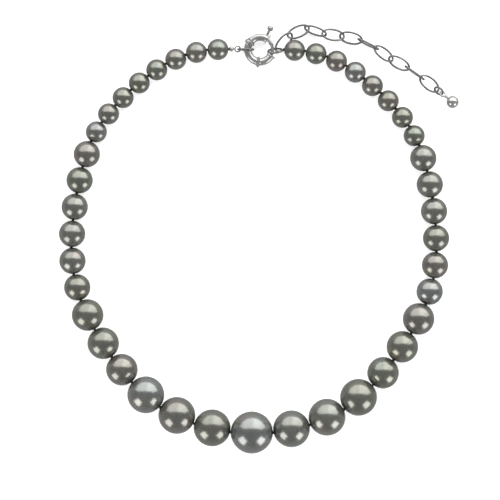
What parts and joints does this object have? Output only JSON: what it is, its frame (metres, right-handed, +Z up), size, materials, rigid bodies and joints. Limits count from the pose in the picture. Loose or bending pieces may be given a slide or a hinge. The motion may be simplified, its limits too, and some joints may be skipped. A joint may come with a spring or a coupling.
{
  "type": "pearl necklace",
  "caption": "Graduated dark pearl necklace, knotted on silk, closed by a large spring-ring clasp, with an oval-link extender chain and end ball.",
  "frame": {"origin": "point where the front pearl rests on the table, under its centre", "axes": "+Y from the front pearl to the clasp, +Z up from the table, +X to the right seen from above"},
  "size_m": [0.153, 0.165, 0.0161],
  "materials": {
    "nacre_green": "lustrous dark nacre, olive overtone",
    "nacre_silver": "lustrous dark nacre, silver overtone",
    "nacre_rose": "lustrous dark nacre, rose overtone",
    "nacre_blue": "lustrous dark nacre, blue overtone",
    "silk": "twisted dark silk",
    "rhodium": "polished rhodium plate on silver",
    "spring_steel": "drawn spring wire"
  },
  "bodies": {
    "pearl_01": {"pearl_01": "nacre_silver", "left_bead_tip": "rhodium"},
    "pearl_02": {"pearl_02": "nacre_silver"},
    "pearl_03": {"pearl_03": "nacre_silver"},
    "pearl_04": {"pearl_04": "nacre_green"},
    "pearl_05": {"pearl_05": "nacre_green"},
    "pearl_06": {"pearl_06": "nacre_green"},
    "pearl_07": {"pearl_07": "nacre_rose"},
    "pearl_08": {"pearl_08": "nacre_blue"},
    "pearl_09": {"pearl_09": "nacre_rose"},
    "pearl_10": {"pearl_10": "nacre_green"},
    "pearl_11": {"pearl_11": "nacre_silver"},
    "pearl_12": {"pearl_12": "nacre_silver"},
    "pearl_13": {"pearl_13": "nacre_silver"},
    "pearl_14": {"pearl_14": "nacre_green"},
    "pearl_15": {"pearl_15": "nacre_green"},
    "pearl_16": {"pearl_16": "nacre_green"},
    "pearl_17": {"pearl_17": "nacre_rose"},
    "pearl_18": {"pearl_18": "nacre_blue"},
    "pearl_19": {"pearl_19": "nacre_rose"},
    "pearl_20": {"pearl_20": "nacre_green"},
    "pearl_21": {"pearl_21": "nacre_blue", "silk_thread": "silk"},
    "pearl_22": {"pearl_22": "nacre_silver"},
    "pearl_23": {"pearl_23": "nacre_silver"},
    "pearl_24": {"pearl_24": "nacre_green"},
    "pearl_25": {"pearl_25": "nacre_green"},
    "pearl_26": {"pearl_26": "nacre_green"},
    "pearl_27": {"pearl_27": "nacre_rose"},
    "pearl_28": {"pearl_28": "nacre_blue"},
    "pearl_29": {"pearl_29": "nacre_rose"},
    "pearl_30": {"pearl_30": "nacre_green"},
    "pearl_31": {"pearl_31": "nacre_silver"},
    "pearl_32": {"pearl_32": "nacre_silver"},
    "pearl_33": {"pearl_33": "nacre_silver"},
    "pearl_34": {"pearl_34": "nacre_green"},
    "pearl_35": {"pearl_35": "nacre_green"},
    "pearl_36": {"pearl_36": "nacre_green"},
    "pearl_37": {"pearl_37": "nacre_rose"},
    "pearl_38": {"pearl_38": "nacre_blue"},
    "pearl_39": {"pearl_39": "nacre_rose"},
    "pearl_40": {"pearl_40": "nacre_green"},
    "pearl_41": {"pearl_41": "nacre_silver"},
    "left_connector_ring": {"left_connector_ring": "rhodium"},
    "clasp_case": {"clasp_tube": "rhodium", "clasp_spring": "spring_steel"},
    "clasp_bolt": {"clasp_bolt": "rhodium"},
    "right_connector_ring": {"right_connector_ring": "rhodium"},
    "extender_link_01": {"extender_link_01": "rhodium"},
    "extender_link_02": {"extender_link_02": "rhodium"},
    "extender_link_03": {"extender_link_03": "rhodium"},
    "extender_link_04": {"extender_link_04": "rhodium"},
    "extender_link_05": {"extender_link_05": "rhodium"},
    "extender_link_06": {"extender_link_06": "rhodium"},
    "extender_link_07": {"extender_link_07": "rhodium"},
    "extender_link_08": {"extender_link_08": "rhodium"},
    "extender_link_09": {"extender_link_09": "rhodium"},
    "extender_link_10": {"extender_link_10": "rhodium"},
    "drop_ring": {"drop_ring": "rhodium"},
    "drop_ball": {"drop_ball": "rhodium"}
  },
  "joints": [
    {"name": "knot_right_01", "type": "hinge", "parent": "pearl_21", "child": "pearl_22", "pos_m": [0.00818, 0, 0.00747], "axis": [0, 0, 1], "range_deg": [0, 4], "deforming": ["silk_thread"]},
    {"name": "knot_left_01", "type": "hinge", "parent": "pearl_21", "child": "pearl_20", "pos_m": [-0.00818, 0, 0.00747], "axis": [0, 0, 1], "range_deg": [-4, 0]},
    {"name": "knot_right_02", "type": "hinge", "parent": "pearl_22", "child": "pearl_23", "pos_m": [0.02224, 0.00306, 0.007], "axis": [1, 0, 0], "range_deg": [0, 15]},
    {"name": "knot_left_02", "type": "hinge", "parent": "pearl_20", "child": "pearl_19", "pos_m": [-0.02224, 0.00306, 0.007], "axis": [1, 0, 0], "range_deg": [0, 15]},
    {"name": "knot_right_03", "type": "hinge", "parent": "pearl_23", "child": "pearl_24", "pos_m": [0.03527, 0.00918, 0.007], "axis": [0, 0, 1], "range_deg": [0, 2.55]},
    {"name": "knot_left_03", "type": "hinge", "parent": "pearl_19", "child": "pearl_18", "pos_m": [-0.03527, 0.00918, 0.007], "axis": [0, 0, 1], "range_deg": [-2.55, 0]},
    {"name": "knot_right_04", "type": "hinge", "parent": "pearl_24", "child": "pearl_25", "pos_m": [0.04617, 0.01856, 0.00646], "axis": [1, 0, 0], "range_deg": [0, 15]},
    {"name": "knot_left_04", "type": "hinge", "parent": "pearl_18", "child": "pearl_17", "pos_m": [-0.04617, 0.01856, 0.00646], "axis": [1, 0, 0], "range_deg": [0, 15]},
    {"name": "knot_right_05", "type": "hinge", "parent": "pearl_25", "child": "pearl_26", "pos_m": [0.05399, 0.02817, 0.006], "axis": [0, 0, 1], "range_deg": [-2.28, 0]},
    {"name": "knot_left_05", "type": "hinge", "parent": "pearl_17", "child": "pearl_16", "pos_m": [-0.05399, 0.02817, 0.006], "axis": [0, 0, 1], "range_deg": [0, 2.28]},
    {"name": "knot_right_06", "type": "hinge", "parent": "pearl_26", "child": "pearl_27", "pos_m": [0.0607, 0.03859, 0.006], "axis": [1, 0, 0], "range_deg": [0, 15]},
    {"name": "knot_left_06", "type": "hinge", "parent": "pearl_16", "child": "pearl_15", "pos_m": [-0.0607, 0.03859, 0.006], "axis": [1, 0, 0], "range_deg": [0, 15]},
    {"name": "knot_right_07", "type": "hinge", "parent": "pearl_27", "child": "pearl_28", "pos_m": [0.06619, 0.04968, 0.00546], "axis": [0, 0, 1], "range_deg": [-2.71, 0]},
    {"name": "knot_left_07", "type": "hinge", "parent": "pearl_15", "child": "pearl_14", "pos_m": [-0.06619, 0.04968, 0.00546], "axis": [0, 0, 1], "range_deg": [0, 2.71]},
    {"name": "knot_right_08", "type": "hinge", "parent": "pearl_28", "child": "pearl_29", "pos_m": [0.06908, 0.05965, 0.005], "axis": [1, 0, 0], "range_deg": [0, 15]},
    {"name": "knot_left_08", "type": "hinge", "parent": "pearl_14", "child": "pearl_13", "pos_m": [-0.06908, 0.05965, 0.005], "axis": [1, 0, 0], "range_deg": [0, 15]},
    {"name": "knot_right_09", "type": "hinge", "parent": "pearl_29", "child": "pearl_30", "pos_m": [0.07008, 0.07, 0.005], "axis": [0, 0, 1], "range_deg": [-2.97, 0]},
    {"name": "knot_left_09", "type": "hinge", "parent": "pearl_13", "child": "pearl_12", "pos_m": [-0.07008, 0.07, 0.005], "axis": [0, 0, 1], "range_deg": [0, 2.97]},
    {"name": "knot_right_10", "type": "hinge", "parent": "pearl_30", "child": "pearl_31", "pos_m": [0.06962, 0.08039, 0.005], "axis": [1, 0, 0], "range_deg": [0, 15]},
    {"name": "knot_left_10", "type": "hinge", "parent": "pearl_12", "child": "pearl_11", "pos_m": [-0.06962, 0.08039, 0.005], "axis": [1, 0, 0], "range_deg": [0, 15]},
    {"name": "knot_right_11", "type": "hinge", "parent": "pearl_31", "child": "pearl_32", "pos_m": [0.0683, 0.09071, 0.005], "axis": [0, 0, 1], "range_deg": [-3.21, 0]},
    {"name": "knot_left_11", "type": "hinge", "parent": "pearl_11", "child": "pearl_10", "pos_m": [-0.0683, 0.09071, 0.005], "axis": [0, 0, 1], "range_deg": [0, 3.21]},
    {"name": "knot_right_12", "type": "hinge", "parent": "pearl_32", "child": "pearl_33", "pos_m": [0.06612, 0.10088, 0.005], "axis": [1, 0, 0], "range_deg": [0, 15]},
    {"name": "knot_left_12", "type": "hinge", "parent": "pearl_10", "child": "pearl_09", "pos_m": [-0.06612, 0.10088, 0.005], "axis": [1, 0, 0], "range_deg": [0, 15]},
    {"name": "knot_right_13", "type": "hinge", "parent": "pearl_33", "child": "pearl_34", "pos_m": [0.06304, 0.11078, 0.00445], "axis": [0, 0, 1], "range_deg": [-2.13, 0]},
    {"name": "knot_left_13", "type": "hinge", "parent": "pearl_09", "child": "pearl_08", "pos_m": [-0.06304, 0.11078, 0.00445], "axis": [0, 0, 1], "range_deg": [0, 2.13]},
    {"name": "knot_right_14", "type": "hinge", "parent": "pearl_34", "child": "pearl_35", "pos_m": [0.05907, 0.11816, 0.004], "axis": [1, 0, 0], "range_deg": [0, 15]},
    {"name": "knot_left_14", "type": "hinge", "parent": "pearl_08", "child": "pearl_07", "pos_m": [-0.05907, 0.11816, 0.004], "axis": [1, 0, 0], "range_deg": [0, 15]},
    {"name": "knot_right_15", "type": "hinge", "parent": "pearl_35", "child": "pearl_36", "pos_m": [0.05388, 0.12476, 0.004], "axis": [0, 0, 1], "range_deg": [0, 2.28]},
    {"name": "knot_left_15", "type": "hinge", "parent": "pearl_07", "child": "pearl_06", "pos_m": [-0.05388, 0.12476, 0.004], "axis": [0, 0, 1], "range_deg": [-2.28, 0]},
    {"name": "knot_right_16", "type": "hinge", "parent": "pearl_36", "child": "pearl_37", "pos_m": [0.04801, 0.13077, 0.004], "axis": [1, 0, 0], "range_deg": [0, 15]},
    {"name": "knot_left_16", "type": "hinge", "parent": "pearl_06", "child": "pearl_05", "pos_m": [-0.04801, 0.13077, 0.004], "axis": [1, 0, 0], "range_deg": [0, 15]},
    {"name": "knot_right_17", "type": "hinge", "parent": "pearl_37", "child": "pearl_38", "pos_m": [0.04159, 0.13619, 0.004], "axis": [0, 0, 1], "range_deg": [0, 2.29]},
    {"name": "knot_left_17", "type": "hinge", "parent": "pearl_05", "child": "pearl_04", "pos_m": [-0.04159, 0.13619, 0.004], "axis": [0, 0, 1], "range_deg": [-2.29, 0]},
    {"name": "knot_right_18", "type": "hinge", "parent": "pearl_38", "child": "pearl_39", "pos_m": [0.0347, 0.141, 0.004], "axis": [1, 0, 0], "range_deg": [0, 15]},
    {"name": "knot_left_18", "type": "hinge", "parent": "pearl_04", "child": "pearl_03", "pos_m": [-0.0347, 0.141, 0.004], "axis": [1, 0, 0], "range_deg": [0, 15]},
    {"name": "knot_right_19", "type": "hinge", "parent": "pearl_39", "child": "pearl_40", "pos_m": [0.02708, 0.14452, 0.004], "axis": [0, 0, 1], "range_deg": [0, 2.18]},
    {"name": "knot_left_19", "type": "hinge", "parent": "pearl_03", "child": "pearl_02", "pos_m": [-0.02708, 0.14452, 0.004], "axis": [0, 0, 1], "range_deg": [-2.18, 0]},
    {"name": "knot_right_20", "type": "hinge", "parent": "pearl_40", "child": "pearl_41", "pos_m": [0.01892, 0.14651, 0.004], "axis": [1, 0, 0], "range_deg": [0, 15]},
    {"name": "knot_left_20", "type": "hinge", "parent": "pearl_02", "child": "pearl_01", "pos_m": [-0.01892, 0.14651, 0.004], "axis": [1, 0, 0], "range_deg": [0, 15]},
    {"name": "left_ring_swing", "type": "hinge", "parent": "pearl_01", "child": "left_connector_ring", "pos_m": [-0.00405, 0.14691, 0.00265], "axis": [1, 0, 0], "range_deg": [-6, 6]},
    {"name": "clasp_swing", "type": "hinge", "parent": "left_connector_ring", "child": "clasp_case", "pos_m": [-0.00405, 0.14691, 0.00265], "axis": [1, 0, 0], "range_deg": [-6, 6]},
    {"name": "bolt_slide", "type": "hinge", "parent": "clasp_case", "child": "clasp_bolt", "pos_m": [0.0015, 0.14701, 0.00265], "axis": [0, 0, 1], "range_deg": [0, 60], "stiffness_Nm_per_rad": 0.004, "springref_deg": -28.65, "deforming": ["clasp_spring"]},
    {"name": "right_ring_roll", "type": "hinge", "parent": "pearl_41", "child": "right_connector_ring", "pos_m": [0.00725, 0.14656, 0.0029], "axis": [0.9758, 0.0682, 0.2079], "range_deg": [-8, 6]},
    {"name": "extender_link_01_swing", "type": "hinge", "parent": "right_connector_ring", "child": "extender_link_01", "pos_m": [0.00993, 0.14675, 0.00347], "axis": [0.1447, 0.5113, -0.8471], "range_deg": [-20, 4]},
    {"name": "extender_link_02_swing", "type": "hinge", "parent": "extender_link_01", "child": "extender_link_02", "pos_m": [0.01335, 0.15317, 0.00199], "axis": [0.6144, -0.5264, -0.5877], "range_deg": [-30, 8]},
    {"name": "extender_link_03_swing", "type": "hinge", "parent": "extender_link_02", "child": "extender_link_03", "pos_m": [0.02003, 0.15579, 0.00211], "axis": [-0.3663, 0.8369, -0.4067], "range_deg": [-30, 24]},
    {"name": "extender_link_04_swing", "type": "hinge", "parent": "extender_link_03", "child": "extender_link_04", "pos_m": [0.02674, 0.15309, 0.00321], "axis": [-0.0502, -0.5409, -0.8396], "range_deg": [-30, 14]},
    {"name": "extender_link_05_swing", "type": "hinge", "parent": "extender_link_04", "child": "extender_link_05", "pos_m": [0.03369, 0.15251, 0.00155], "axis": [0.0157, 0.9169, -0.3988], "range_deg": [-30, 30]},
    {"name": "extender_link_06_swing", "type": "hinge", "parent": "extender_link_05", "child": "extender_link_06", "pos_m": [0.04061, 0.15096, 0.00236], "axis": [-0.1387, -0.8559, -0.4982], "range_deg": [-30, 30]},
    {"name": "extender_link_07_swing", "type": "hinge", "parent": "extender_link_06", "child": "extender_link_07", "pos_m": [0.0468, 0.14759, 0.00341], "axis": [-0.0935, 0.1259, 0.9876], "range_deg": [-18, 30]},
    {"name": "extender_link_08_swing", "type": "hinge", "parent": "extender_link_07", "child": "extender_link_08", "pos_m": [0.0525, 0.14364, 0.00164], "axis": [-0.3814, -0.7657, 0.518], "range_deg": [-30, 30]},
    {"name": "extender_link_09_swing", "type": "hinge", "parent": "extender_link_08", "child": "extender_link_09", "pos_m": [0.05878, 0.14038, 0.00268], "axis": [0.3213, 0.7454, 0.584], "range_deg": [-30, 30]},
    {"name": "extender_link_10_swing", "type": "hinge", "parent": "extender_link_09", "child": "extender_link_10", "pos_m": [0.06454, 0.13624, 0.00304], "axis": [0.0661, -0.0037, -0.9978], "range_deg": [-30, 30]},
    {"name": "drop_ring_swing", "type": "hinge", "parent": "extender_link_10", "child": "drop_ring", "pos_m": [0.07017, 0.13213, 0.00156], "axis": [0.5242, 0.8073, -0.271], "range_deg": [-30, 30]},
    {"name": "drop_ball_swing", "type": "hinge", "parent": "drop_ring", "child": "drop_ball", "pos_m": [0.07178, 0.13084, 0.0022], "axis": [-0.3443, -0.4406, -0.829], "range_deg": [-30, 30]}
  ],
  "couplings": [
    {"joint": "knot_left_01", "follows": "knot_right_01", "ratio": -1},
    {"joint": "knot_left_02", "follows": "knot_right_02", "ratio": 1},
    {"joint": "knot_right_03", "follows": "knot_right_01", "ratio": 0.637},
    {"joint": "knot_left_03", "follows": "knot_right_01", "ratio": -0.637},
    {"joint": "knot_left_04", "follows": "knot_right_04", "ratio": 1},
    {"joint": "knot_right_05", "follows": "knot_right_01", "ratio": -0.5694},
    {"joint": "knot_left_05", "follows": "knot_right_01", "ratio": 0.5694},
    {"joint": "knot_left_06", "follows": "knot_right_06", "ratio": 1},
    {"joint": "knot_right_07", "follows": "knot_right_01", "ratio": -0.6759},
    {"joint": "knot_left_07", "follows": "knot_right_01", "ratio": 0.6759},
    {"joint": "knot_left_08", "follows": "knot_right_08", "ratio": 1},
    {"joint": "knot_right_09", "follows": "knot_right_01", "ratio": -0.7412},
    {"joint": "knot_left_09", "follows": "knot_right_01", "ratio": 0.7412},
    {"joint": "knot_left_10", "follows": "knot_right_10", "ratio": 1},
    {"joint": "knot_right_11", "follows": "knot_right_01", "ratio": -0.8024},
    {"joint": "knot_left_11", "follows": "knot_right_01", "ratio": 0.8024},
    {"joint": "knot_left_12", "follows": "knot_right_12", "ratio": 1},
    {"joint": "knot_right_13", "follows": "knot_right_01", "ratio": -0.5325},
    {"joint": "knot_left_13", "follows": "knot_right_01", "ratio": 0.5325},
    {"joint": "knot_left_14", "follows": "knot_right_14", "ratio": 1},
    {"joint": "knot_right_15", "follows": "knot_right_01", "ratio": 0.5689},
    {"joint": "knot_left_15", "follows": "knot_right_01", "ratio": -0.5689},
    {"joint": "knot_left_16", "follows": "knot_right_16", "ratio": 1},
    {"joint": "knot_right_17", "follows": "knot_right_01", "ratio": 0.5706},
    {"joint": "knot_left_17", "follows": "knot_right_01", "ratio": -0.5706},
    {"joint": "knot_left_18", "follows": "knot_right_18", "ratio": 1},
    {"joint": "knot_right_19", "follows": "knot_right_01", "ratio": 0.5448},
    {"joint": "knot_left_19", "follows": "knot_right_01", "ratio": -0.5448},
    {"joint": "knot_left_20", "follows": "knot_right_20", "ratio": 1}
  ]
}
